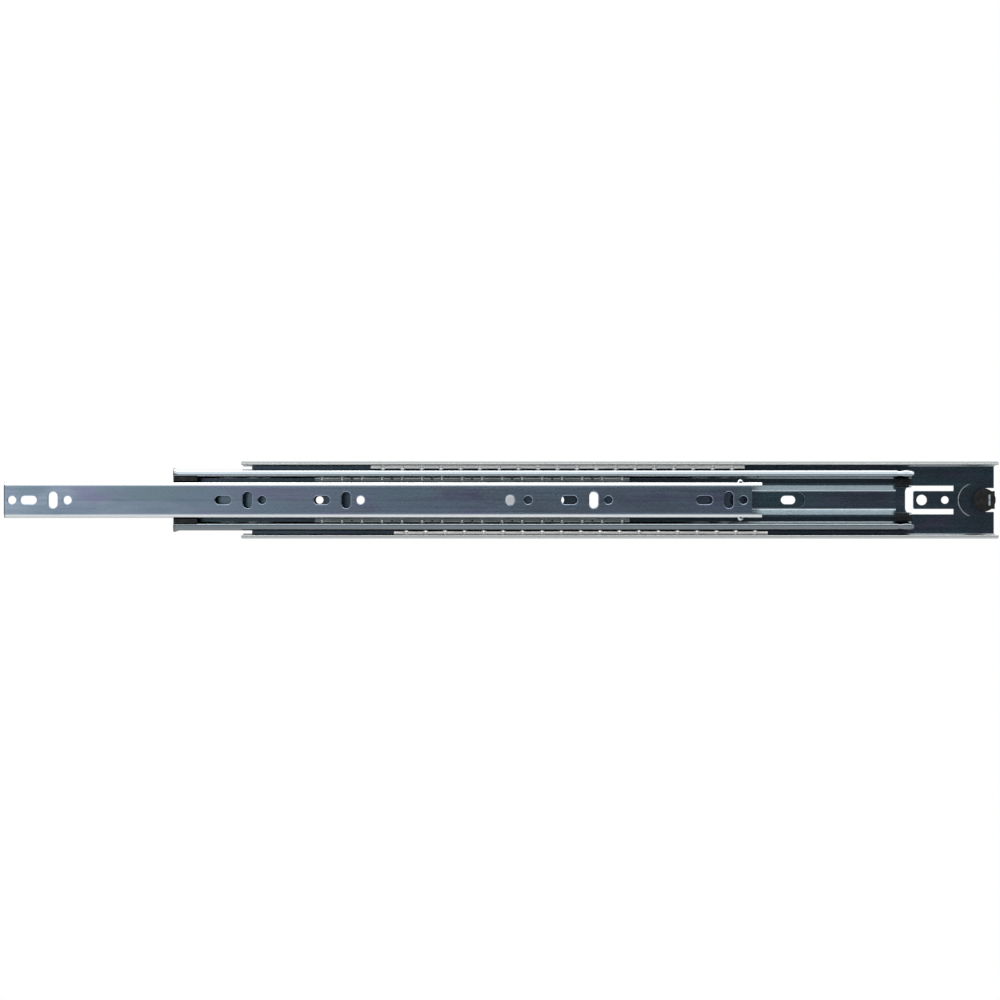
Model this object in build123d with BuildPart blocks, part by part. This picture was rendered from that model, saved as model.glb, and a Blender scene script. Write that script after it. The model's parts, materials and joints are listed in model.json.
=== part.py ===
from build123d import *
import os
from math import cos, radians, sin, tan

# Three-member ball-bearing drawer slide, drawn partly open.
#
# x runs along the slide and the drawer pulls out towards -x, z is up, and the cabinet side is the
# plane y = 0. "Depth" is the distance from the cabinet side towards the drawer, so depth = -y.
# A section is drawn in (depth, height) and a web's cut-outs are drawn in (x, height), in millimetres.

# Overall size
length = 450.0
height = 46.0
thickness = 12.7

# Sheet steel and balls
cabinet_sheet = 1.2
intermediate_sheet = 1.0
drawer_sheet = 1.2
outer_cage_sheet = 0.5
inner_cage_sheet = 0.6
ball_radius = 2.0
race_radius = ball_radius + 0.25
running_gap = 0.3

# Centres of the ball rows, in (depth, height), for the upper half
row_depth = 8.8
outer_row = (row_depth, height / 2 - cabinet_sheet - race_radius)
inner_row = (row_depth, 12.45)

# How far the slide stands open, from closed
intermediate_opened = 42.9
drawer_opened = 88.8

# Members along x
cabinet_front = -length / 2
cabinet_rear = length / 2
intermediate_length = 440.2
intermediate_front = cabinet_front + 2.5 - intermediate_opened
intermediate_rear = intermediate_front + intermediate_length
drawer_front = cabinet_front - 9.0 - intermediate_opened - drawer_opened
drawer_rear = drawer_front + length

# Ball retainers along x
outer_cage_length = 222.0
outer_cage_fronts = {"top": cabinet_front + 77.0, "bottom": cabinet_front + 90.8}
outer_ball_count = 19
outer_ball_pitch = 11.53
inner_cage_length = 186.9
inner_cage_front = intermediate_front + 84.2
inner_ball_count = 16
inner_ball_pitch = 11.9

# Cabinet member's holes: (x, diameter), and slots: (x, length, width)
cabinet_holes = ((-179.2, 4.5), (-155.0, 6.2), (181.2, 6.2), (195.1, 4.5))
cabinet_level_slots = ((-37.6, 9.4, 5.4), (101.2, 8.6, 5.0))
cabinet_upright_slot = (-15.9, 12.0, 7.4)

# Intermediate member's access slots: (x, length)
access_slots = ((-167.3, 36.0), (-24.7, 27.0), (88.4, 44.6))
access_slot_height = 9.6

# Drawer member's groups of holes, by the distance of each group's upright slot from its front end
hole_groups = (29.2, 144.6, 203.1, 350.1, 430.3)
level_slot = (9.6, 5.0)
upright_slot = (5.2, 9.8)
round_hole = 4.8
level_slot_offset = -14.5
round_hole_offset = 8.6
single_holes = (4.9, 311.1)
rivet_station = 300.4

sides = {"top": 1, "bottom": -1}


def section_plane(x):
    """Plane across the slide: its own x is the depth and its own y the height. It faces the pull end."""
    return Plane(origin=(x, 0, 0), x_dir=(0, -1, 0), z_dir=(-1, 0, 0))


def web_plane(depth):
    """Plane parallel to the cabinet side, in (x, height), facing the drawer."""
    return Plane.XZ.offset(depth)


def from_centre(centre, radius, angle):
    return (centre[0] + radius * cos(radians(angle)), centre[1] + radius * sin(radians(angle)))


def touch(row, radius, heading):
    """Point where a run with this heading is tangent to a circle about a ball row on its right."""
    return from_centre(row, radius, heading + 90)


def wrap(row, radius, arriving, leaving):
    """Corner of two runs whose fillet of this radius is centred on a ball row."""
    reach = radius / cos(radians(arriving - leaving) / 2)
    return from_centre(row, reach, (arriving + leaving) / 2 + 90)


def at_depth(point, heading, depth):
    """Where the run through a point with this heading reaches a depth."""
    return (depth, point[1] + (depth - point[0]) * tan(radians(heading)))


def at_height(point, heading, level):
    """Where the run through a point with this heading reaches a height."""
    return (point[0] + (level - point[1]) / tan(radians(heading)), level)


def both_halves(upper):
    """A section's whole middle line, from its upper half read from the web outwards."""
    return [(depth, -level) for depth, level in reversed(upper)] + list(upper)


# --- Cabinet member: a C channel whose rolled edges run over the outer ball rows ---

cabinet_mid = cabinet_sheet / 2
cabinet_race = race_radius + cabinet_mid
flange_level = height / 2 - 1.1 - cabinet_mid
rise, fall = 35, -45
lip_run = 0.2
cabinet_path = [
    (cabinet_mid, flange_level),
    at_height(touch(outer_row, cabinet_race, rise), rise, flange_level),
    wrap(outer_row, cabinet_race, rise, fall),
    from_centre(touch(outer_row, cabinet_race, fall), lip_run, fall),
]
cabinet_bends = [1.2, 2.0, cabinet_race]
web_reach = flange_level - 1.2
front_setback = 5.3
rear_setback = 0.6

# Lanced tongue at the rear of the web, and the clip with the slot for the bumper's tab
lance_left, lance_right = 171.3, 200.2
lance_level = 8.5
tongue_left = 176.1
tongue_level = 5.4
clip_half_height = 5.4
clip_notch_height = 1.7
clip_notch_depth = 5.4
tab_x = 219.6
tab_sheet = 1.2
tab_half_height = 3.3
tab_depth = 11.2

with BuildPart() as cabinet_member:
    with BuildSketch(section_plane(cabinet_rear)):
        with BuildLine():
            FilletPolyline(*both_halves(cabinet_path), radius=cabinet_bends[::-1] + cabinet_bends)
            offset(amount=cabinet_mid)
        make_face()
    extrude(amount=length)

    # The web stops short of the flanges at the front
    with BuildSketch(web_plane(-1)):
        with Locations((cabinet_front, 0)):
            Rectangle(2 * front_setback, 2 * web_reach)
    extrude(amount=1 + 2 * cabinet_sheet, mode=Mode.SUBTRACT)

    # At the rear it leaves a clip between two notches
    with BuildSketch(web_plane(-1)):
        with Locations((cabinet_rear, 0)):
            Rectangle(2 * rear_setback, 2 * web_reach)
            Rectangle(2 * rear_setback, 2 * clip_half_height, mode=Mode.SUBTRACT)
        for side in sides.values():
            with Locations((cabinet_rear, side * (clip_half_height + clip_notch_height / 2))):
                Rectangle(2 * clip_notch_depth, clip_notch_height)
    extrude(amount=1 + 2 * cabinet_sheet, mode=Mode.SUBTRACT)

    # Screw holes, slots and the C-shaped cut round the tongue
    with BuildSketch(web_plane(-1)):
        for x, diameter in cabinet_holes:
            with Locations((x, 0)):
                Circle(diameter / 2)
        for x, long, wide in cabinet_level_slots:
            with Locations((x, 0)):
                SlotOverall(long, wide)
        x, long, wide = cabinet_upright_slot
        with Locations((x, 0)):
            SlotOverall(long, wide, rotation=90)
    extrude(amount=2 + cabinet_sheet, mode=Mode.SUBTRACT)
    with BuildSketch(web_plane(-1)) as lance:
        with Locations(((lance_left + lance_right) / 2, 0)):
            Rectangle(lance_right - lance_left, 2 * lance_level)
        fillet(lance.vertices().group_by(Axis.X)[0], radius=3.8)
        with Locations(((tongue_left + lance_right + 5) / 2, 0)):
            RectangleRounded(lance_right + 5 - tongue_left, 2 * tongue_level, 1.0, mode=Mode.SUBTRACT)
    extrude(amount=2 + cabinet_sheet, mode=Mode.SUBTRACT)

    # Slot for the foot of the bumper's tab
    with BuildSketch(web_plane(-1)):
        with Locations((tab_x, 0)):
            Rectangle(tab_sheet, 2 * tab_half_height)
    extrude(amount=2 + cabinet_sheet, mode=Mode.SUBTRACT)


# --- Bumper tab: a steel strip staked upright in the cabinet member's rear clip ---

with BuildPart() as bumper_tab:
    with BuildSketch(web_plane(0)):
        with Locations((tab_x, 0)):
            Rectangle(tab_sheet, 2 * tab_half_height)
    extrude(amount=tab_depth)


# --- Intermediate member: a ribbed web whose edges fold over the inner rows and back under the outer ---

intermediate_mid = intermediate_sheet / 2
fold_race = race_radius + intermediate_mid
valley_depth = cabinet_sheet + running_gap + intermediate_mid
rib_depth = valley_depth + 2.1
rib_half_height = 5.3
rib_foot = 8.45
dome_rise, dome_fall = 12, -32
nose_depth = thickness - running_gap - 0.2 - intermediate_mid
nose_bend = 0.8
return_heading, edge_heading = 212, 142
dome_start = touch(inner_row, fold_race, dome_rise)
dome_end = touch(inner_row, fold_race, dome_fall)
return_start = touch(outer_row, fold_race, return_heading)
intermediate_path = [
    (rib_depth, rib_half_height),
    (valley_depth, rib_foot),
    at_depth(dome_start, dome_rise, valley_depth),
    wrap(inner_row, fold_race, dome_rise, dome_fall),
    at_depth(dome_end, dome_fall, nose_depth),
    at_depth(return_start, return_heading, nose_depth),
    wrap(outer_row, fold_race, return_heading, edge_heading),
    from_centre(touch(outer_row, fold_race, edge_heading), 0.5, edge_heading),
]
intermediate_bends = [1.2, 1.2, 1.3, fold_race, nose_bend, nose_bend, fold_race]
web_end = 165.1
tail_level = 7.4

with BuildPart() as intermediate_member:
    with BuildSketch(section_plane(intermediate_rear)):
        with BuildLine():
            FilletPolyline(*both_halves(intermediate_path), radius=intermediate_bends[::-1] + intermediate_bends)
            offset(amount=intermediate_mid)
        make_face()
    extrude(amount=intermediate_length)

    # Access slots, and the open end that clears the bumper when the slide is closed
    with BuildSketch(web_plane(cabinet_sheet)):
        for x, long in access_slots:
            with Locations((x, 0)):
                SlotOverall(long, access_slot_height)
        with Locations((intermediate_rear, 0)):
            Rectangle(2 * (intermediate_rear - web_end), 2 * tail_level)
    extrude(amount=rib_depth + 1, mode=Mode.SUBTRACT)


# --- Drawer member: the innermost channel, with its face to the drawer ---

drawer_mid = drawer_sheet / 2
drawer_race = race_radius + drawer_mid
groove_in, groove_out = 198, 162
drawer_edge_depth = 6.1
groove_start = touch(inner_row, drawer_race, groove_in)
groove_end = touch(inner_row, drawer_race, groove_out)
drawer_path = [
    at_depth(groove_start, groove_in, thickness - drawer_mid),
    wrap(inner_row, drawer_race, groove_in, groove_out),
    at_depth(groove_end, groove_out, drawer_edge_depth + drawer_mid),
]
drawer_bends = [1.6, drawer_race]
drawer_web_end = 78.4
web_flat = 8.0
dimple_x = 71.5
dimple_radius = 2.2
dimple_centre = (10.1, 10.3)

with BuildPart() as drawer_member:
    with BuildSketch(section_plane(drawer_rear)):
        with BuildLine():
            FilletPolyline(*both_halves(drawer_path), radius=drawer_bends[::-1] + drawer_bends)
            offset(amount=drawer_mid)
        make_face()
    extrude(amount=length)

    # Screw holes in groups, the seat of the lever's rivet, and the web's rear end
    with BuildSketch(web_plane(thickness - 2 * drawer_sheet)):
        for station in hole_groups:
            with Locations((drawer_front + station + level_slot_offset, 0)):
                SlotOverall(*level_slot)
            with Locations((drawer_front + station, 0)):
                SlotOverall(upright_slot[1], upright_slot[0], rotation=90)
            with Locations((drawer_front + station + round_hole_offset, 0)):
                Circle(round_hole / 2)
        with Locations(*[(drawer_front + station, 0) for station in single_holes]):
            Circle(round_hole / 2)
        with Locations((drawer_front + rivet_station, 0)):
            Circle(2.8)
        with Locations((drawer_rear, 0)):
            Rectangle(2 * (drawer_rear - drawer_web_end), 2 * web_flat)
    extrude(amount=3 * drawer_sheet, mode=Mode.SUBTRACT)

    # Dimples that stop the inner retainer
    for side in sides.values():
        with Locations((dimple_x, -dimple_centre[0], side * dimple_centre[1])):
            Sphere(dimple_radius)


# --- Rivet and disconnect lever, behind the drawer member's web ---

rivet_x = drawer_front + rivet_station
lever_depths = (8.9, thickness - drawer_sheet - running_gap)
lever_reach = 57.0
lever_half_height = 3.4

with BuildPart() as lever_rivet:
    with BuildSketch(web_plane(lever_depths[0] - 1.2)):
        with Locations((rivet_x, 0)):
            Circle(3.1)
    extrude(amount=0.9)
    with BuildSketch(web_plane(lever_depths[0] - 0.4)):
        with Locations((rivet_x, 0)):
            Circle(2.0)
    extrude(amount=thickness - drawer_sheet - lever_depths[0] + 0.5)
    with BuildSketch(web_plane(thickness - drawer_sheet)):
        with Locations((rivet_x, 0)):
            Circle(2.8)
    extrude(amount=drawer_sheet - 0.1)
    fillet(lever_rivet.faces().sort_by(Axis.Y)[0].edges(), radius=0.35)

with BuildPart() as disconnect_lever:
    with BuildSketch(web_plane(lever_depths[0])):
        with BuildLine():
            Polyline(
                (rivet_x - 2, lever_half_height + 0.9),
                (rivet_x - 12, lever_half_height),
                (rivet_x - lever_reach + 6, lever_half_height - 0.6),
                (rivet_x - lever_reach, lever_half_height - 1.8),
                (rivet_x - lever_reach, -lever_half_height + 0.4),
                (rivet_x - lever_reach + 6, -lever_half_height),
                (rivet_x - 12, -lever_half_height),
                (rivet_x - 2, -lever_half_height - 0.9),
                close=True,
            )
        make_face()
        with Locations((rivet_x, 0)):
            Circle(lever_half_height + 1.2)
            Circle(2.2, mode=Mode.SUBTRACT)
        with Locations((rivet_x - lever_reach / 2, -1.0)):
            SlotOverall(lever_reach * 0.55, 1.4, mode=Mode.SUBTRACT)
    extrude(amount=lever_depths[1] - lever_depths[0])
    # The catch at the lever's tip reaches further back
    with BuildSketch(web_plane(lever_depths[0])):
        with Locations((rivet_x - lever_reach + 3.5, 0)):
            RectangleRounded(6, 2 * lever_half_height - 2.6, 0.8)
    extrude(amount=-1.8)


# --- Outer ball retainers: two separate strips with an upturned front edge ---

outer_cage_drop = 0.6
outer_cage_depths = (5.7, 11.35)
outer_cage_edge = 20.15
window_level = outer_row[1] + 0.05

retainers = {}
balls = {}
for side, sign in sides.items():
    leg_level = sign * (outer_row[1] - outer_cage_drop)
    cage_front = outer_cage_fronts[side]
    cage_middle = cage_front + outer_cage_length / 2

    with BuildPart() as outer_retainer:
        with BuildSketch(section_plane(cage_front + outer_cage_length)):
            with BuildLine():
                FilletPolyline(
                    (outer_cage_depths[0], leg_level),
                    (outer_cage_depths[1], leg_level),
                    (outer_cage_depths[1], sign * outer_cage_edge),
                    radius=0.5,
                )
                offset(amount=outer_cage_sheet / 2)
            make_face()
        extrude(amount=outer_cage_length)
        with BuildSketch(Plane.XY.offset(leg_level)):
            with Locations((cage_middle, -row_depth)):
                with GridLocations(outer_ball_pitch, 1, outer_ball_count, 1):
                    Circle(ball_radius + 0.15)
        extrude(amount=outer_cage_sheet, both=True, mode=Mode.SUBTRACT)
        with BuildSketch(web_plane(outer_cage_depths[1])):
            with Locations((cage_middle, sign * window_level)):
                with GridLocations(outer_ball_pitch, 1, outer_ball_count, 1):
                    SlotOverall(2.2, 1.1)
        extrude(amount=outer_cage_sheet, both=True, mode=Mode.SUBTRACT)
    retainers[f"outer_retainer_{side}"] = outer_retainer

    with BuildPart() as outer_balls:
        with Locations((cage_middle, -row_depth, sign * outer_row[1])):
            with GridLocations(outer_ball_pitch, 1, outer_ball_count, 1):
                Sphere(ball_radius)
    balls[f"outer_balls_{side}"] = outer_balls


# --- Inner ball retainer: one U-shaped cage for both inner rows ---

inner_arm_level = inner_row[1] + 0.55
inner_web_depth = 5.3
inner_edge_depth = 11.3
inner_edge_level = 11.25
inner_cage_path = [
    (inner_web_depth, inner_arm_level),
    (inner_edge_depth, inner_arm_level),
    (inner_edge_depth, inner_edge_level),
]
inner_cage_rear = inner_cage_front + inner_cage_length
inner_cage_middle = inner_cage_front + inner_cage_length / 2
cage_windows = ((0, 37), (45, 40), (93, 40), (141, 46))
cage_window_height = 16.0
notch_pairs = range(1, inner_ball_count - 2, 2)
first_inner_ball = inner_cage_middle - inner_ball_pitch * (inner_ball_count - 1) / 2

with BuildPart() as inner_retainer:
    with BuildSketch(section_plane(inner_cage_rear)):
        with BuildLine():
            FilletPolyline(*both_halves(inner_cage_path), radius=[0.6, 0.9, 0.9, 0.6])
            offset(amount=inner_cage_sheet / 2)
        make_face()
    extrude(amount=inner_cage_length)

    # Windows in the web, open at both ends of the cage
    with BuildSketch(web_plane(inner_web_depth)):
        for start, long in cage_windows:
            with Locations((inner_cage_front + start + long / 2, 0)):
                Rectangle(long, cage_window_height)
    extrude(amount=inner_cage_sheet, both=True, mode=Mode.SUBTRACT)

    for sign in sides.values():
        with BuildSketch(Plane.XY.offset(sign * inner_arm_level)):
            with Locations((inner_cage_middle, -row_depth)):
                with GridLocations(inner_ball_pitch, 1, inner_ball_count, 1):
                    Circle(ball_radius + 0.15)
        extrude(amount=inner_cage_sheet, both=True, mode=Mode.SUBTRACT)
        with BuildSketch(web_plane(inner_edge_depth)):
            with Locations((inner_cage_middle, sign * inner_row[1] - sign * 0.1)):
                with GridLocations(inner_ball_pitch, 1, inner_ball_count, 1):
                    SlotOverall(2.6, 1.4)
            for pair in notch_pairs:
                notch_x = first_inner_ball + (pair + 0.5) * inner_ball_pitch
                with BuildLine():
                    Polyline(
                        (notch_x - 1.7, sign * (inner_arm_level + 1)),
                        (notch_x + 1.7, sign * (inner_arm_level + 1)),
                        (notch_x, sign * (inner_edge_level + 0.35)),
                        close=True,
                    )
                make_face()
        extrude(amount=inner_cage_sheet, both=True, mode=Mode.SUBTRACT)

for side, sign in sides.items():
    for number in range(inner_ball_count):
        ball_x = first_inner_ball + number * inner_ball_pitch
        with BuildPart() as inner_ball:
            with Locations((ball_x, -row_depth, sign * inner_row[1])):
                Sphere(ball_radius)
        balls[f"inner_ball_{side}_{number + 1:02}"] = inner_ball


# --- Front stop: a plastic clip at the intermediate member's front, with an arm in each inner race ---

stop_front = intermediate_front + 0.5
stop_length = 13.7
stop_plate_depths = (rib_depth + intermediate_mid + 0.15, drawer_edge_depth - running_gap)
stop_floor = 11.2

with BuildPart() as front_stop:
    with BuildSketch(section_plane(stop_front + stop_length)):
        for sign in sides.values():
            with Locations((row_depth, sign * inner_row[1])):
                Circle(race_radius - 0.1)
            with Locations((10.4, sign * (stop_floor + 13.9) / 2)):
                Rectangle(3.0, 13.9 - stop_floor)
            with Locations((6.6, sign * (stop_floor + 13.5) / 2)):
                Rectangle(3.6, 13.5 - stop_floor)
        Rectangle(24, 2 * stop_floor, mode=Mode.SUBTRACT)
        with Locations((sum(stop_plate_depths) / 2, 0)):
            Rectangle(stop_plate_depths[1] - stop_plate_depths[0], 26.6)
    extrude(amount=stop_length)


# --- Rear stops: two plastic blocks in the intermediate member's tails ---

rear_stop_x = (164.6, 173.8)
rear_stop_levels = (8.9, 12.3)
rear_stop_depths = (valley_depth + intermediate_mid, 5.4)

rear_stops = {}
for side, sign in sides.items():
    with BuildPart() as rear_stop:
        with BuildSketch(web_plane(rear_stop_depths[0])):
            with Locations((sum(rear_stop_x) / 2, sign * sum(rear_stop_levels) / 2)):
                RectangleRounded(rear_stop_x[1] - rear_stop_x[0], rear_stop_levels[1] - rear_stop_levels[0], 0.8)
        extrude(amount=rear_stop_depths[1] - rear_stop_depths[0])
    rear_stops[f"rear_stop_{side}"] = rear_stop


# --- Rear bumper: a rubber plug pressed over the tab ---

bumper_front = 211.0
bumper_rear = 223.2
bumper_half_height = 6.8
bumper_nose_half_height = 6.2
bumper_nose_length = 4.0

with BuildPart() as rear_bumper:
    with BuildSketch(web_plane(cabinet_sheet)):
        with BuildLine():
            round_end = ThreePointArc(
                (bumper_front + bumper_half_height, bumper_half_height),
                (bumper_front, 0),
                (bumper_front + bumper_half_height, -bumper_half_height),
            )
            nose = ThreePointArc(
                (bumper_rear - bumper_nose_length, -bumper_nose_half_height),
                (bumper_rear, 0),
                (bumper_rear - bumper_nose_length, bumper_nose_half_height),
            )
            Line(round_end @ 1, nose @ 0)
            Line(nose @ 1, round_end @ 0)
        make_face()
        with Locations((tab_x, 0)):
            Rectangle(tab_sheet + 0.4, 2 * tab_half_height + 0.4, mode=Mode.SUBTRACT)
    extrude(amount=10.6)
    fillet(rear_bumper.faces().sort_by(Axis.Y)[0].edges(), radius=0.5)


pieces = {
    "cabinet_member": cabinet_member,
    "intermediate_member": intermediate_member,
    "drawer_member": drawer_member,
    "lever_rivet": lever_rivet,
    "disconnect_lever": disconnect_lever,
    "inner_retainer": inner_retainer,
    "front_stop": front_stop,
    "bumper_tab": bumper_tab,
    "rear_bumper": rear_bumper,
    **retainers,
    **balls,
    **rear_stops,
}
os.makedirs("parts", exist_ok=True)
for name, piece in pieces.items():
    piece.part.label = name
    export_step(piece.part, f"parts/{name}.step")
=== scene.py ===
import bmesh
import bpy
import json
from math import copysign, cos, pi, radians, sin
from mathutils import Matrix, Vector


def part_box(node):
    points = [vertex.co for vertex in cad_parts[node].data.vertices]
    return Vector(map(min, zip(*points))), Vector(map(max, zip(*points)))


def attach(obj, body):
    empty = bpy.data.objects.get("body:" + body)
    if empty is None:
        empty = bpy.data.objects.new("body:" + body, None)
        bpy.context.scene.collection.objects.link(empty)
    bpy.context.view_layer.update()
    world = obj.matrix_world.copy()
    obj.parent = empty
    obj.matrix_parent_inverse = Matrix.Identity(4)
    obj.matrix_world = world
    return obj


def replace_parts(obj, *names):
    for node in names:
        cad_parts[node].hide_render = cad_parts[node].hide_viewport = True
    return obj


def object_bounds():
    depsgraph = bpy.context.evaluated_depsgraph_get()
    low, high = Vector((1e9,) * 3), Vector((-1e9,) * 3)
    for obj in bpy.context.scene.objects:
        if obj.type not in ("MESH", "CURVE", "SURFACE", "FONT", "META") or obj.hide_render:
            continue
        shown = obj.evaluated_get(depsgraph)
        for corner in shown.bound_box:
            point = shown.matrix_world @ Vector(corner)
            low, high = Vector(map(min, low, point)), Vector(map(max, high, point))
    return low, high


# Looks of a three-member ball-bearing drawer slide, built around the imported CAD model.
# x runs along the slide, z is up and the cabinet side is the plane y = 0. Everything is in metres.

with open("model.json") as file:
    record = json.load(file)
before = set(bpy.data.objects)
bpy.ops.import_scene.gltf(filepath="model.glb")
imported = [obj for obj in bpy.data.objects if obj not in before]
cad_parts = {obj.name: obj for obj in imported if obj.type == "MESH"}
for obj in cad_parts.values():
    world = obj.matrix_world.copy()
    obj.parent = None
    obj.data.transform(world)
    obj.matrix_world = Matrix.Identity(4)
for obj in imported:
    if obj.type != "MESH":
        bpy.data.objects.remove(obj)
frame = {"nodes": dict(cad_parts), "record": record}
cad_low, cad_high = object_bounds()
mm = 0.001
slots = {part["node"]: part["material_slot"] for part in frame["record"]["subparts"]}
bodies = {node: body for body, nodes in frame["record"]["behaviour"]["bodies"].items() for node in nodes}


# --- Materials ---

class Recipe:
    """A node material that is written from the texture towards the shader."""

    def __init__(self, name, **constants):
        self.material = bpy.data.materials.new(name)
        self.material.use_nodes = True
        self.tree = self.material.node_tree
        self.shader = self.tree.nodes["Principled BSDF"]
        for socket, value in constants.items():
            self.shader.inputs[socket.replace("_", " ")].default_value = value

    def add(self, kind, inputs=None, **settings):
        return add_node(self.tree, kind, inputs, **settings)

    def noise(self, size, detail=3.0, roughness=0.55):
        """Noise whose features have this size along x, y and z."""
        place = self.add("ShaderNodeTexCoord").outputs["Object"]
        scaled = self.add("ShaderNodeMapping", {"Vector": place, "Scale": [1 / s for s in size]})
        inputs = {"Vector": scaled.outputs["Vector"], "Scale": 1.0, "Detail": detail, "Roughness": roughness}
        return self.add("ShaderNodeTexNoise", inputs).outputs["Fac"]

    def spread(self, value, low, high, start=0.3, end=0.7):
        """A value between start and end, spread over low to high."""
        inputs = {"Value": value, "From Min": start, "From Max": end, "To Min": low, "To Max": high}
        return self.add("ShaderNodeMapRange", inputs).outputs["Result"]

    def blend(self, factor, first, second):
        """Two colours mixed by a factor."""
        return self.add("ShaderNodeMix", {0: factor, 6: first, 7: second}, data_type="RGBA").outputs[2]

    def combine(self, first, second, how="ADD"):
        """Two values joined by a sum or product."""
        return self.add("ShaderNodeMath", {0: first, 1: second}, operation=how).outputs[0]

    def along(self, coordinate, axis):
        """How far the place or the normal reaches along an axis."""
        place = self.add("ShaderNodeTexCoord").outputs[coordinate]
        return self.add("ShaderNodeSeparateXYZ", {"Vector": place}).outputs[axis]

    def size_along(self, coordinate, axis):
        """The same, either way along the axis."""
        return self.add("ShaderNodeMath", {0: self.along(coordinate, axis)}, operation="ABSOLUTE").outputs[0]

    def colour(self, value):
        self.tree.links.new(value, self.shader.inputs["Base Color"])

    def roughness(self, value):
        self.tree.links.new(value, self.shader.inputs["Roughness"])

    def bump(self, height, depth):
        """Relief of this depth in metres where the height runs from 0 to 1."""
        node = self.add("ShaderNodeBump", {"Height": height, "Distance": depth, "Strength": 1.0})
        self.tree.links.new(node.outputs["Normal"], self.shader.inputs["Normal"])


def add_node(tree, kind, inputs=None, **settings):
    """A new node with its settings, and its inputs by socket: a value or another node's output."""
    node = tree.nodes.new(kind)
    for key, value in settings.items():
        setattr(node, key, value)
    for key, value in (inputs or {}).items():
        if isinstance(value, bpy.types.NodeSocket):
            tree.links.new(value, node.inputs[key])
        else:
            node.inputs[key].default_value = value
    return node


def zinc(name, face, worn_face, violet, green, bend, bends_from, darkened_end,
         shaded_band=(0, 0), painted_shade_below=(-1, 0)):
    """Bright zinc plate on rolled strip: clouded faces with violet and green patches, and a near-black band
    at the cut front end.

    The bends further from the middle than bends_from take a lighter colour, partly burnish from the rolls
    and partly painted sheen. Below a level they are darkened by a share, as painted shade; the level and the
    share are the two numbers of the last argument. A band between two heights from the middle is darkened as
    painted shade, and ambient occlusion paints shade into hollows and between parts."""
    made = Recipe(name, Metallic=1.0)
    clouds = made.noise((30 * mm, 9 * mm, 7 * mm), detail=4)
    violet_patches = made.noise((45 * mm, 20 * mm, 11 * mm), detail=3)
    green_patches = made.noise((60 * mm, 17 * mm, 16 * mm), detail=3)
    roll_marks = made.noise((75 * mm, 0.6 * mm, 0.6 * mm), detail=4)
    grain = made.noise((0.5 * mm, 0.35 * mm, 0.35 * mm), detail=2)
    scratches = made.noise((11 * mm, 0.12 * mm, 0.12 * mm), detail=3)
    colour = made.blend(made.spread(clouds, 0.0, 1.0), face, worn_face)
    colour = made.blend(made.spread(violet_patches, 0.0, 0.8, 0.5, 0.66), colour, violet)
    colour = made.blend(made.spread(green_patches, 0.0, 0.7, 0.52, 0.68), colour, green)
    colour = made.blend(made.spread(roll_marks, 0.0, 0.4, 0.45, 0.75), colour, worn_face)
    level = made.size_along("Object", "Z")
    # Bends turned away from the front take a lighter colour: partly burnish from the rolls, partly painted
    # sheen.
    bend_sheen = made.spread(made.size_along("Normal", "Y"), 1.0, 0.0, 0.955, 0.992)
    bend_sheen = made.combine(bend_sheen, made.spread(level, 0.0, 1.0, bends_from - 1 * mm, bends_from), "MULTIPLY")
    shade_level, shade_share = painted_shade_below
    # Below a level the bends are darkened towards near black by a share: painted shade.
    height = made.along("Object", "Z")
    lower_shade = made.spread(height, shade_share, 0.0, shade_level - 0.3 * mm, shade_level + 0.3 * mm)
    colour = made.blend(bend_sheen, colour, made.blend(lower_shade, bend, (0.02, 0.025, 0.03, 1)))
    # Between two heights from the middle the colour is darkened: painted shade of the hollow between the
    # members.
    shaded_band_edge = 0.6 * mm
    above = made.spread(level, 0.0, 0.6, shaded_band[0], shaded_band[0] + shaded_band_edge)
    below = made.spread(level, 1.0, 0.0, shaded_band[1], shaded_band[1] + shaded_band_edge)
    colour = made.blend(made.combine(above, below, "MULTIPLY"), colour, (0.02, 0.03, 0.03, 1))
    # The last 0.4 to 0.8 mm at the front cut end is mixed towards near black.
    end_darkening = made.spread(made.along("Object", "X"), 0.8, 0.0, darkened_end + 0.4 * mm, darkened_end + 0.8 * mm)
    colour = made.blend(end_darkening, colour, (0.03, 0.03, 0.035, 1))
    # Ambient occlusion darkens the colour: painted shade in hollows and between parts.
    occlusion_shade = made.add("ShaderNodeAmbientOcclusion", {"Distance": 7 * mm}, samples=8).outputs["AO"]
    made.colour(made.blend(made.spread(occlusion_shade, 0.7, 0.0, 0.05, 0.55), colour, (0.01, 0.015, 0.02, 1)))
    worn = made.combine(made.spread(clouds, 0.19, 0.28), made.spread(roll_marks, -0.03, 0.05))
    made.roughness(made.combine(worn, made.spread(grain, -0.02, 0.04)))
    relief = made.combine(made.combine(roll_marks, 0.5, "MULTIPLY"), made.combine(grain, 0.25, "MULTIPLY"))
    relief = made.combine(relief, made.combine(scratches, 0.3, "MULTIPLY"))
    made.bump(relief, 0.009 * mm)
    return made.material


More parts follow.
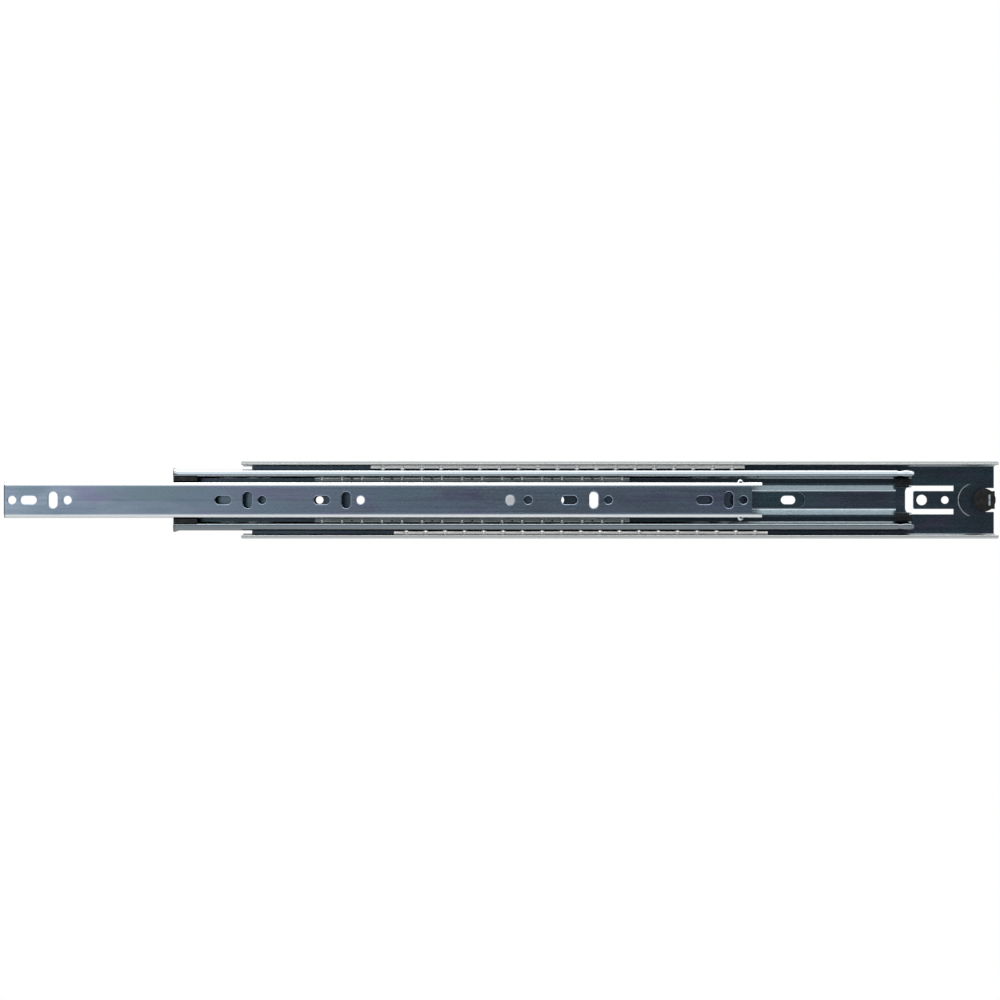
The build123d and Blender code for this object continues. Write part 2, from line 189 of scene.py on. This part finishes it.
def retainer_steel():
    """Thin pressed strip with drawing lines. The inner retainer, nearer the middle, is painted dark: painted
    shade of the narrow gap between the members.
    """
    made = Recipe("retainer_steel", Metallic=1.0)
    lines = made.noise((30 * mm, 0.25 * mm, 0.25 * mm), detail=4)
    stains = made.noise((12 * mm, 4 * mm, 4 * mm), detail=3)
    outer_colour = made.blend(made.spread(stains, 0.0, 1.0), (0.72, 0.72, 0.70, 1), (0.50, 0.51, 0.51, 1))
    # Dark colour for the inner retainer: painted shade of the gap between the members.
    gap_shade_colour = made.blend(made.spread(stains, 0.0, 1.0), (0.20, 0.22, 0.22, 1), (0.10, 0.12, 0.13, 1))
    outer = made.spread(made.size_along("Object", "Z"), 0.0, 1.0, 14.5 * mm, 16 * mm)
    made.colour(made.blend(outer, gap_shade_colour, outer_colour))
    made.roughness(made.combine(made.spread(lines, 0.36, 0.5), made.spread(stains, -0.03, 0.05)))
    made.bump(lines, 0.01 * mm)
    return made.material


def ball_steel():
    """Bearing balls under a thin film of grease."""
    made = Recipe("ball_steel", Metallic=1.0)
    film = made.noise((1.2 * mm, 1.2 * mm, 1.2 * mm), detail=3)
    made.colour(made.blend(made.spread(film, 0.0, 1.0), (0.96, 0.96, 0.95, 1), (0.84, 0.84, 0.82, 1)))
    made.roughness(made.spread(film, 0.35, 0.5))
    return made.material


def rivet_steel():
    """Cold-headed rivet, a little mottled where it was struck."""
    made = Recipe("rivet_steel", Metallic=1.0)
    struck = made.noise((0.9 * mm, 0.9 * mm, 0.9 * mm), detail=3)
    made.colour(made.blend(made.spread(struck, 0.0, 1.0), (0.95, 0.96, 0.97, 1), (0.70, 0.72, 0.75, 1)))
    made.roughness(made.spread(struck, 0.35, 0.55))
    made.bump(struck, 0.03 * mm)
    return made.material


def moulded_black(name, colour, worn, low, high, grain_size, grain_depth):
    """Black plastic or rubber, low to high in roughness, with a fine grain and greyer rubbed places."""
    made = Recipe(name, Metallic=0.0, IOR=1.38, Specular_IOR_Level=0.3)
    grain = made.noise((grain_size,) * 3, detail=3)
    rubbed = made.noise((3 * mm,) * 3, detail=3)
    made.colour(made.blend(made.spread(rubbed, 0.0, 1.0, 0.45, 0.75), colour, worn))
    made.roughness(made.combine(made.spread(grain, low, high), made.spread(rubbed, -0.04, 0.04)))
    made.bump(grain, grain_depth)
    return made.material


materials = {
    # The cabinet and intermediate members' faces are darker than the drawer member's: painted shade of their
    # recess behind it.
    "zinc_cabinet": zinc(
        "zinc_cabinet",
        face=(0.20, 0.26, 0.31, 1), worn_face=(0.12, 0.17, 0.23, 1),
        violet=(0.24, 0.22, 0.33, 1), green=(0.12, 0.24, 0.26, 1),
        bend=(0.42, 0.44, 0.44, 1), bends_from=1 * mm,
        darkened_end=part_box("cabinet_member")[0].x - 1 * mm),
    "zinc_intermediate": zinc(
        "zinc_intermediate",
        face=(0.25, 0.33, 0.38, 1), worn_face=(0.15, 0.22, 0.29, 1),
        violet=(0.23, 0.23, 0.33, 1), green=(0.15, 0.26, 0.26, 1),
        bend=(0.74, 0.83, 0.88, 1), bends_from=1 * mm,
        darkened_end=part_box("intermediate_member")[0].x,
        shaded_band=(9.6 * mm, 14.6 * mm), painted_shade_below=(-15 * mm, 0.8)),
    "zinc_drawer": zinc(
        "zinc_drawer",
        face=(0.40, 0.48, 0.58, 1), worn_face=(0.25, 0.33, 0.44, 1),
        violet=(0.33, 0.31, 0.50, 1), green=(0.26, 0.39, 0.41, 1),
        bend=(0.88, 0.92, 0.93, 1), bends_from=7.5 * mm,
        darkened_end=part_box("drawer_member")[0].x,
        painted_shade_below=(-7.5 * mm, 0.4)),
    "retainer_steel": retainer_steel(),
    "ball_steel": ball_steel(),
    "rivet_steel": rivet_steel(),
    "black_plastic": moulded_black(
        "black_plastic", (0.010, 0.011, 0.012, 1), (0.030, 0.031, 0.033, 1),
        low=0.38, high=0.52, grain_size=0.25 * mm, grain_depth=0.01 * mm),
    "black_rubber": moulded_black(
        "black_rubber", (0.010, 0.010, 0.011, 1), (0.026, 0.025, 0.025, 1),
        low=0.55, high=0.75, grain_size=0.35 * mm, grain_depth=0.02 * mm),
}


# --- Finished copies of the CAD nodes ---

corner_angle = radians(38)


def editable(node):
    """A copy of a CAD node's mesh, with its flat triangles joined into whole faces."""
    mesh = bmesh.new()
    mesh.from_mesh(frame["nodes"][node].data)
    bmesh.ops.remove_doubles(mesh, verts=mesh.verts, dist=0.0005 * mm)
    bmesh.ops.dissolve_limit(mesh, angle_limit=radians(0.5), verts=mesh.verts, edges=mesh.edges)
    return mesh


def ease(mesh, width, segments=2, chosen=lambda edge: True):
    """Rounds the chosen corners of a mesh."""
    corners = [e for e in mesh.edges if e.is_manifold and e.calc_face_angle() > corner_angle]
    edges = [e for e in corners if chosen(e)]
    bmesh.ops.bevel(
        mesh, geom=edges, offset=width, segments=segments, profile=0.5, affect="EDGES", clamp_overlap=False)


def on_face(y, half_height):
    """A test for the rims of the holes in a web's face."""
    return lambda edge: all(abs(v.co.y - y) < 0.01 * mm and abs(v.co.z) < half_height for v in edge.verts)


def cut(mesh, place, across):
    """Divides a mesh's faces by a plane through a place."""
    everything = mesh.verts[:] + mesh.edges[:] + mesh.faces[:]
    bmesh.ops.bisect_plane(mesh, geom=everything, plane_co=place, plane_no=across)


def between(table, key):
    """The value for a key in a table of (key, value) rows with falling keys, in straight steps."""
    for (high_key, high_value), (low_key, low_value) in zip(table, table[1:]):
        if key >= low_key:
            return low_value + (high_value - low_value) * (key - low_key) / (high_key - low_key)
    return table[-1][1]


def reshape_beyond(mesh, x, direction, move):
    """Cuts a mesh across at x and moves every point that lies further that way."""
    cut(mesh, (x, 0, 0), (1, 0, 0))
    for vert in mesh.verts:
        beyond = (vert.co.x - x) * direction
        if beyond > 0.001 * mm:
            vert.co = move(vert.co.copy(), beyond)


def add_piece(mesh, name, body, slot):
    """Makes an object of a finished mesh, which rides on a body."""
    for face in mesh.faces:
        face.smooth = True
    for edge in mesh.edges:
        edge.smooth = not edge.is_manifold or edge.calc_face_angle() < corner_angle
    data = bpy.data.meshes.new(name)
    mesh.to_mesh(data)
    mesh.free()
    data.materials.append(materials[slot])
    piece = bpy.data.objects.new(name, data)
    bpy.context.scene.collection.objects.link(piece)
    piece.modifiers.new("even_shading", "WEIGHTED_NORMAL").keep_sharp = True
    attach(piece, body)
    return piece


def show(mesh, node):
    """Stands a finished mesh in for its CAD node, with the same body and material slot."""
    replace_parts(add_piece(mesh, node + "_finished", bodies[node], slots[node]), node)


def cabinet_member():
    mesh = editable("cabinet_member")
    ease(mesh, 0.12 * mm)
    show(mesh, "cabinet_member")


def intermediate_member():
    """The noses slope back from the drawer, and the folds are crimped at the rear and flare at the front."""
    mesh = editable("intermediate_member")
    low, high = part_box("intermediate_member")
    nose_front, nose_low, nose_high, nose_slope = -10 * mm, 13.2 * mm, 18 * mm, 1.4 * mm
    fold_level, fold_depth, fold_height = 13.3 * mm, -9.6 * mm, 16 * mm
    # How wide a fold is, as a share of its full width, by millimetres from the rear end
    crimp = (
        (10.5, 1.0), (9.4, 0.86), (8.3, 0.80), (7.0, 0.92), (5.6, 1.03),
        (4.2, 1.04), (2.6, 0.94), (1.2, 0.78), (0.0, 0.6))
    flare_level, flare_length, flare = 14.8 * mm, 3 * mm, 1.0 * mm

    def flared(place, beyond):
        if abs(place.z) > flare_level:
            place.z += copysign(flare, place.z) * (beyond / flare_length) ** 2
        return place

    for vert in mesh.verts:
        if vert.co.y < nose_front:
            vert.co.y += nose_slope * max(0, abs(vert.co.z) - nose_low) / (nose_high - nose_low)
    ease(mesh, 0.1 * mm)
    for from_end, share in crimp[:-1]:
        cut(mesh, (high.x - from_end * mm, 0, 0), (1, 0, 0))
    for vert in mesh.verts:
        from_end = (high.x - vert.co.x) / mm
        if abs(vert.co.z) > fold_level and from_end < crimp[0][0]:
            share = between(crimp, from_end)
            centre = copysign(fold_height, vert.co.z)
            vert.co.z = centre + (vert.co.z - centre) * share
            vert.co.y = fold_depth + (vert.co.y - fold_depth) * (1 + share) / 2
    reshape_beyond(mesh, low.x + flare_length, -1, flared)
    show(mesh, "intermediate_member")


def drawer_member():
    """Its holes are pressed through towards the cabinet, and its face rounds off gently into the bends."""
    mesh = editable("drawer_member")
    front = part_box("drawer_member")[0].y
    web_back, web_middle = -10.4 * mm, front + 0.7 * mm
    round_from, corner = 7.3 * mm, 9.9 * mm
    ease(mesh, 0.5 * mm, 3, on_face(front, 6 * mm))
    ease(mesh, 0.12 * mm)
    for level in (7.3, 7.8, 8.3):
        for side in (1, -1):
            cut(mesh, (0, 0, side * level * mm), (0, 0, 1))
    for vert in mesh.verts:
        height = abs(vert.co.z)
        if height > round_from and vert.co.y < web_back:
            share = min(1, (height - round_from) / (corner - round_from))
            vert.co.y += 0.35 * mm * share * (1 if vert.co.y < web_middle else 0.6)
            vert.co.z += copysign(0.2 * mm, vert.co.z) * share ** 2
    show(mesh, "drawer_member")


def eased(node, width):
    """A node whose shape stays, apart from its corners."""
    mesh = editable(node)
    ease(mesh, width)
    show(mesh, node)


def bumper_tab():
    """Its outer end was sheared at a slight angle."""
    mesh = editable("bumper_tab")
    low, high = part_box("bumper_tab")
    for vert in mesh.verts:
        if vert.co.y < (low.y + high.y) / 2 and vert.co.x < (low.x + high.x) / 2:
            vert.co.y += 0.35 * mm
    ease(mesh, 0.1 * mm)
    show(mesh, "bumper_tab")


def bead():
    """A low bead pressed up from the cabinet member's web, part of the way round the bumper."""
    centre, radius, half_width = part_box("rear_bumper")[0].x + 2.2 * mm, 9.7 * mm, 0.9 * mm
    web_front, sunk, rise, foot = -1.2 * mm, 0.04 * mm, 0.18 * mm, 0.5 * mm
    first_angle, sweep, steps, taper_steps, across_steps = 100, 160, 40, 4, 12
    mesh = bmesh.new()
    rings = []
    for step in range(steps + 1):
        angle = radians(first_angle + sweep * step / steps)
        swell = min(1, step / taper_steps, (steps - step) / taper_steps)
        section = []
        for part in range(across_steps + 1):
            across = -1 + 2 * part / across_steps
            section.append((across, web_front + sunk - rise * swell * (1 - across ** 2) ** 2))
        section += [(1, web_front + foot), (-1, web_front + foot)]
        ring = []
        for across, y in section:
            reach = radius + half_width * across * (0.4 + 0.6 * swell)
            ring.append(mesh.verts.new((centre + reach * cos(angle), y, reach * sin(angle))))
        rings.append(ring)
    for one, two in zip(rings, rings[1:]):
        for part in range(len(one)):
            after = (part + 1) % len(one)
            mesh.faces.new((one[part], one[after], two[after], two[part]))
    mesh.faces.new(rings[0])
    mesh.faces.new(rings[-1][::-1])
    bmesh.ops.recalc_face_normals(mesh, faces=mesh.faces)
    add_piece(mesh, "bumper_bead", "cabinet", "zinc_cabinet")


cabinet_member()
intermediate_member()
drawer_member()
bumper_tab()
bead()
for node in ("inner_retainer", "outer_retainer_top", "outer_retainer_bottom"):
    eased(node, 0.07 * mm)
small_parts = (
    "front_stop", "rear_stop_top", "rear_stop_bottom", "rear_bumper", "disconnect_lever", "lever_rivet")
for node in small_parts:
    eased(node, 0.2 * mm)
for node in frame["nodes"]:
    if slots[node] == "ball_steel":
        show(editable(node), node)


# --- Stage: a pale floor below the slide, and soft light from above, below and behind ---

def floor():
    """A pale disc well below the slide."""
    disc = bpy.data.meshes.new("floor")
    mesh = bmesh.new()
    bmesh.ops.create_circle(mesh, cap_ends=True, segments=96, radius=0.85)
    mesh.to_mesh(disc)
    mesh.free()
    thing = bpy.data.objects.new("floor", disc)
    bpy.context.scene.collection.objects.link(thing)
    thing.location = (middle.x, -0.35, -0.42)
    paint = Recipe("floor_paint", Metallic=0.0, Roughness=0.7)
    cloud = paint.noise((0.3, 0.3, 0.3), detail=2)
    paint.colour(paint.blend(paint.spread(cloud, 0, 1), (0.88, 0.88, 0.88, 1), (0.84, 0.84, 0.85, 1)))
    disc.materials.append(paint.material)


def ramp(tree, value, stops):
    """A colour ramp with these (position, colour) stops."""
    node = add_node(tree, "ShaderNodeValToRGB", {"Fac": value})
    elements = node.color_ramp.elements
    while len(elements) < len(stops):
        elements.new(1.0)
    for element, (position, colour) in zip(elements, stops):
        element.position = position
    for element, (position, colour) in zip(elements, stops):
        element.color = (*colour, 1)
    return node.outputs["Color"]


def grey(value, blue=0.0):
    """A grey, turned a little from red to blue."""
    return (value * (1 - blue), value, value * (1 + blue))


def studio():
    """White behind the slide, and long soft lights round it that only its metal sees, dark in front."""
    world = bpy.data.worlds.new("studio")
    bpy.context.scene.world = world
    world.use_nodes = True
    tree = world.node_tree
    tree.nodes.clear()
    direction = add_node(tree, "ShaderNodeTexCoord").outputs["Generated"]
    heading = add_node(tree, "ShaderNodeSeparateXYZ", {"Vector": direction})
    forward = add_node(tree, "ShaderNodeMath", {0: heading.outputs["Y"], 1: -1.0}, operation="MULTIPLY")
    up_and_forward = {0: heading.outputs["Z"], 1: forward.outputs[0]}
    round_x = add_node(tree, "ShaderNodeMath", up_and_forward, operation="ARCTAN2")
    full_turn = {"Value": round_x.outputs[0], "From Min": -pi, "From Max": pi}
    turn = add_node(tree, "ShaderNodeMapRange", full_turn).outputs["Result"]
    # Round the slide from behind (0) by way of below (0.25), in front (0.5) and above (0.75) to behind (1)
    around = ramp(tree, turn, [
        (0.00, grey(0.70)),
        (0.10, grey(0.50)),
        (0.20, grey(0.42)),
        (0.26, grey(0.30)),
        (0.32, grey(0.24, 0.04)),
        (0.38, grey(0.12, 0.06)),
        (0.44, grey(0.03, 0.15)),
        (0.50, grey(0.00)),
        (0.54, grey(0.02, 0.12)),
        (0.58, grey(0.55, 0.02)),
        (0.66, grey(0.60)),
        (0.76, grey(0.60)),
        (0.90, grey(0.70)),
        (1.00, grey(0.75)),
    ])
    # Along the slide, what stands in front of it is brighter beyond its drawer end
    sideways = {"Value": heading.outputs["X"], "From Min": -0.5, "From Max": 0.5}
    side = add_node(tree, "ShaderNodeMapRange", sideways).outputs["Result"]
    along = ramp(tree, side, [
        (0.05, grey(0.50, 0.02)),
        (0.25, grey(0.70, 0.02)),
        (0.30, grey(0.55, 0.03)),
        (0.34, grey(0.24, 0.06)),
        (0.38, grey(0.11, 0.10)),
        (0.50, grey(0.06, 0.12)),
        (0.60, grey(0.08, 0.12)),
        (0.66, grey(0.04, 0.15)),
        (0.75, grey(0.03, 0.15)),
    ])
    ahead = ramp(tree, turn, [(0.42, grey(0)), (0.46, grey(1)), (0.54, grey(1)), (0.58, grey(0))])
    layers = {0: ahead, 6: around, 7: along}
    room = add_node(tree, "ShaderNodeMix", layers, data_type="RGBA", blend_type="ADD")
    seen = add_node(tree, "ShaderNodeBackground", {"Color": (1, 1, 1, 1), "Strength": 1.0})
    lit = add_node(tree, "ShaderNodeBackground", {"Color": room.outputs[2], "Strength": 1.6})
    is_seen = add_node(tree, "ShaderNodeLightPath").outputs["Is Camera Ray"]
    mix = add_node(tree, "ShaderNodeMixShader", {0: is_seen, 1: lit.outputs[0], 2: seen.outputs[0]})
    add_node(tree, "ShaderNodeOutputWorld", {"Surface": mix.outputs[0]})


def softbox(name, place, size, power):
    """A rectangular light at a place from the slide's middle, turned towards it."""
    light = bpy.data.lights.new(name, "AREA")
    light.shape = "RECTANGLE"
    light.size, light.size_y = size
    light.energy = power
    thing = bpy.data.objects.new(name, light)
    bpy.context.scene.collection.objects.link(thing)
    thing.location = middle + Vector(place)
    thing.rotation_euler = (-Vector(place)).to_track_quat("-Z", "Y").to_euler()


def camera(distance, view_width):
    """Square on to the slide, level with its middle, far enough to hold a view of this width."""
    lens = bpy.data.cameras.new("camera")
    thing = bpy.data.objects.new("camera", lens)
    bpy.context.scene.collection.objects.link(thing)
    lens.lens = lens.sensor_width * distance / view_width
    thing.location = (middle.x, -distance, 0)
    thing.rotation_euler = (pi / 2, 0, 0)
    bpy.context.scene.camera = thing


middle = Vector((cad_low.x / 2 + cad_high.x / 2 - 0.9 * mm, 0, 0))
floor()
studio()
softbox("top_softbox", (0, -0.35, 0.75), (1.4, 0.35), 5)
softbox("bottom_softbox", (0, -0.3, -0.38), (1.2, 0.2), 0.25)
camera(distance=1.3, view_width=0.5992)
bpy.context.scene.view_settings.view_transform = "Standard"
